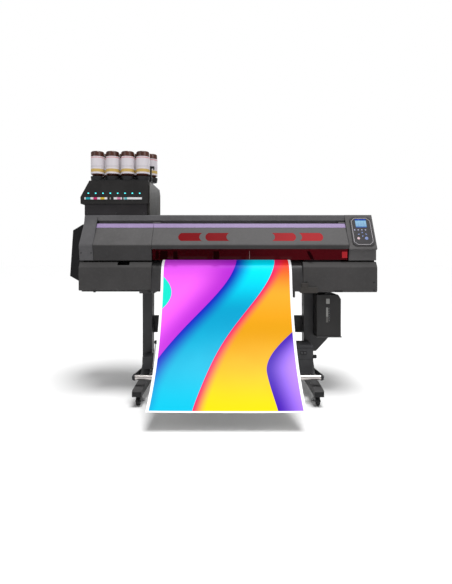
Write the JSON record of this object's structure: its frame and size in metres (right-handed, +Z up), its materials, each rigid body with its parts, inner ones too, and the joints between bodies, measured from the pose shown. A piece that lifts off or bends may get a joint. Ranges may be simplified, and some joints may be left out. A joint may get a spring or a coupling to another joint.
{
  "type": "printer cutter",
  "caption": "Wide-format roll printer cutter on a caster stand, with hinged front cover, ink bottle unit, take-up unit and a hanging printed sheet.",
  "frame": {"origin": "middle of the overall footprint at floor level", "axes": "+Z up, +X to the right seen from the operator, -Y towards the operator"},
  "size_m": [1.937, 1.0306, 1.538],
  "materials": {
    "stand_black": "satin powder coat",
    "foot_black": "satin powder coat",
    "foot_steel": "zinc plated",
    "caster_black": "black zinc",
    "caster_tyre": "matt",
    "frame_steel": "matt",
    "rail_alu": "clear anodised",
    "platen_alu": "hard anodised",
    "guide_grey": "satin",
    "cover_grey": "fine grain",
    "lower_grey": "fine grain",
    "box_black": "grained",
    "window_red": "tinted clear",
    "stripe_violet": "satin metallic",
    "panel_black": "overlay film",
    "display_blue": "lit display",
    "key_grey": "moulded",
    "carriage_grey": "moulded",
    "blade_steel": "ground",
    "roller_steel": "grit coated",
    "arm_black": "satin",
    "pinch_rubber": "matt",
    "ink_grey": "fine grain",
    "lamp_cyan": "lit lens",
    "bottle_amber": "dark amber",
    "takeup_grey": "fine grain",
    "flange_black": "moulded",
    "lever_steel": "zinc plated",
    "bar_steel": "satin tube",
    "tank_grey": "fine grain",
    "sheet_vinyl": "printed gloss vinyl",
    "roll_paper": "satin",
    "inlet_black": "moulded"
  },
  "bodies": {
    "root": {"left_post": "stand_black", "right_post": "stand_black", "left_foot": "foot_black", "right_foot": "foot_black", "rear_stay": "stand_black", "stand_brackets": "stand_black", "levelling_feet": "foot_steel", "base_frame": "frame_steel", "guide_rail": "rail_alu", "platen": "platen_alu", "front_guide": "guide_grey", "rear_guide": "guide_grey", "left_end_cover": "cover_grey", "left_front_cover": "cover_grey", "right_end_cover": "cover_grey", "top_cover": "cover_grey", "right_lower_cover": "lower_grey", "side_box": "box_black", "keypad_panel": "panel_black", "display": "display_blue", "ink_base": "ink_grey", "ink_bezel": "ink_grey", "ink_lamps": "lamp_cyan", "ink_bottles": "bottle_amber", "takeup_motor": "takeup_grey", "roll_holder": "takeup_grey", "waste_tank": "tank_grey", "media_sheet": "sheet_vinyl", "rear_roll_holders": "stand_black", "power_inlet": "inlet_black"},
    "caster_fork_fl": {"caster_fork_fl": "caster_black"},
    "caster_wheel_fl": {"caster_wheel_fl": "caster_tyre"},
    "caster_fork_fr": {"caster_fork_fr": "caster_black"},
    "caster_wheel_fr": {"caster_wheel_fr": "caster_tyre"},
    "caster_fork_rl": {"caster_fork_rl": "caster_black"},
    "caster_wheel_rl": {"caster_wheel_rl": "caster_tyre"},
    "caster_fork_rr": {"caster_fork_rr": "caster_black"},
    "caster_wheel_rr": {"caster_wheel_rr": "caster_tyre"},
    "main_cover": {"main_cover": "cover_grey", "cover_windows": "window_red", "cover_stripe": "stripe_violet"},
    "left_lower_cover": {"left_lower_cover": "lower_grey"},
    "print_carriage": {"print_carriage": "carriage_grey"},
    "cutter_carriage": {"cutter_carriage": "carriage_grey"},
    "blade_holder": {"blade_holder": "blade_steel"},
    "grit_roller": {"grit_roller": "roller_steel"},
    "pinch_arms": {"pinch_arms": "arm_black"},
    "pinch_rollers": {"pinch_rollers": "pinch_rubber"},
    "capping_station": {"capping_station": "carriage_grey"},
    "key_up": {"key_up": "key_grey"},
    "key_down": {"key_down": "key_grey"},
    "key_left": {"key_left": "key_grey"},
    "key_right": {"key_right": "key_grey"},
    "key_stop": {"key_stop": "key_grey"},
    "key_enter": {"key_enter": "key_grey"},
    "takeup_flange": {"takeup_flange": "flange_black"},
    "holder_lever": {"holder_lever": "lever_steel"},
    "holder_plug": {"holder_plug": "flange_black"},
    "tension_bar": {"tension_bar": "bar_steel"},
    "media_roll": {"media_roll": "roll_paper"}
  },
  "joints": [
    {"name": "caster_swivel_fl", "type": "hinge", "parent": "root", "child": "caster_fork_fl", "pos_m": [-0.4425, -0.12468, 0.06], "axis": [0, 0, 1], "continuous": true},
    {"name": "caster_spin_fl", "type": "hinge", "parent": "caster_fork_fl", "child": "caster_wheel_fl", "pos_m": [-0.4425, -0.14268, 0.0252], "axis": [1, 0, 0], "continuous": true},
    {"name": "caster_swivel_fr", "type": "hinge", "parent": "root", "child": "caster_fork_fr", "pos_m": [0.5875, -0.12468, 0.06], "axis": [0, 0, 1], "continuous": true},
    {"name": "caster_spin_fr", "type": "hinge", "parent": "caster_fork_fr", "child": "caster_wheel_fr", "pos_m": [0.5875, -0.14268, 0.0252], "axis": [1, 0, 0], "continuous": true},
    {"name": "caster_swivel_rl", "type": "hinge", "parent": "root", "child": "caster_fork_rl", "pos_m": [-0.4425, 0.45532, 0.06], "axis": [0, 0, 1], "continuous": true},
    {"name": "caster_spin_rl", "type": "hinge", "parent": "caster_fork_rl", "child": "caster_wheel_rl", "pos_m": [-0.4425, 0.47332, 0.0252], "axis": [1, 0, 0], "continuous": true},
    {"name": "caster_swivel_rr", "type": "hinge", "parent": "root", "child": "caster_fork_rr", "pos_m": [0.5875, 0.45532, 0.06], "axis": [0, 0, 1], "continuous": true},
    {"name": "caster_spin_rr", "type": "hinge", "parent": "caster_fork_rr", "child": "caster_wheel_rr", "pos_m": [0.5875, 0.47332, 0.0252], "axis": [1, 0, 0], "continuous": true},
    {"name": "main_cover_hinge", "type": "hinge", "parent": "root", "child": "main_cover", "pos_m": [0.0725, 0.06232, 1.064], "axis": [-1, 0, 0], "range_deg": [0, 65]},
    {"name": "lower_cover_hinge", "type": "hinge", "parent": "root", "child": "left_lower_cover", "pos_m": [-0.6035, -0.02668, 0.648], "axis": [1, 0, 0], "range_deg": [0, 85]},
    {"name": "print_carriage_slide", "type": "slide", "parent": "root", "child": "print_carriage", "axis": [1, 0, 0], "range_m": [-1.05, 0]},
    {"name": "cutter_carriage_slide", "type": "slide", "parent": "root", "child": "cutter_carriage", "axis": [1, 0, 0], "range_m": [0, 1.05]},
    {"name": "blade_slide", "type": "slide", "parent": "cutter_carriage", "child": "blade_holder", "axis": [0, 0, 1], "range_m": [-0.007, 0], "stiffness_N_per_m": 400, "springref_m": 0.004},
    {"name": "grit_roller_spin", "type": "hinge", "parent": "root", "child": "grit_roller", "pos_m": [0.0725, 0.18532, 0.8227], "axis": [1, 0, 0], "continuous": true},
    {"name": "pinch_lift", "type": "hinge", "parent": "root", "child": "pinch_arms", "pos_m": [0.0725, 0.24332, 0.868], "axis": [-1, 0, 0], "range_deg": [0, 10]},
    {"name": "pinch_roller_spin", "type": "hinge", "parent": "pinch_arms", "child": "pinch_rollers", "pos_m": [0.0725, 0.18532, 0.8439], "axis": [1, 0, 0], "continuous": true},
    {"name": "capping_lift", "type": "slide", "parent": "root", "child": "capping_station", "axis": [0, 0, 1], "range_m": [-0.012, 0]},
    {"name": "press_up", "type": "slide", "parent": "root", "child": "key_up", "axis": [0, 0.89, -0.456], "range_m": [0, 0.001], "stiffness_N_per_m": 300},
    {"name": "press_down", "type": "slide", "parent": "root", "child": "key_down", "axis": [0, 0.89, -0.456], "range_m": [0, 0.001], "stiffness_N_per_m": 300},
    {"name": "press_left", "type": "slide", "parent": "root", "child": "key_left", "axis": [0, 0.89, -0.456], "range_m": [0, 0.001], "stiffness_N_per_m": 300},
    {"name": "press_right", "type": "slide", "parent": "root", "child": "key_right", "axis": [0, 0.89, -0.456], "range_m": [0, 0.001], "stiffness_N_per_m": 300},
    {"name": "press_stop", "type": "slide", "parent": "root", "child": "key_stop", "axis": [0, 0.89, -0.456], "range_m": [0, 0.001], "stiffness_N_per_m": 300},
    {"name": "press_enter", "type": "slide", "parent": "root", "child": "key_enter", "axis": [0, 0.89, -0.456], "range_m": [0, 0.001], "stiffness_N_per_m": 300},
    {"name": "takeup_spin", "type": "hinge", "parent": "root", "child": "takeup_flange", "pos_m": [0.4725, 0.05732, 0.204], "axis": [1, 0, 0], "continuous": true},
    {"name": "holder_lever_swing", "type": "hinge", "parent": "root", "child": "holder_lever", "pos_m": [-0.3825, 0.00332, 0.18], "axis": [0, -1, 0], "range_deg": [0, 25]},
    {"name": "holder_plug_slide", "type": "slide", "parent": "root", "child": "holder_plug", "axis": [-1, 0, 0], "range_m": [0, 0.024]},
    {"name": "tension_bar_swing", "type": "hinge", "parent": "root", "child": "tension_bar", "pos_m": [0.0725, 0.17032, 0.122], "axis": [-1, 0, 0], "range_deg": [0, 30]},
    {"name": "media_roll_spin", "type": "hinge", "parent": "root", "child": "media_roll", "pos_m": [0.0635, 0.41502, 0.53], "axis": [1, 0, 0], "continuous": true}
  ],
  "couplings": [
    {"joint": "holder_plug_slide", "follows": "holder_lever_swing", "m_per_rad": 0.055}
  ]
}
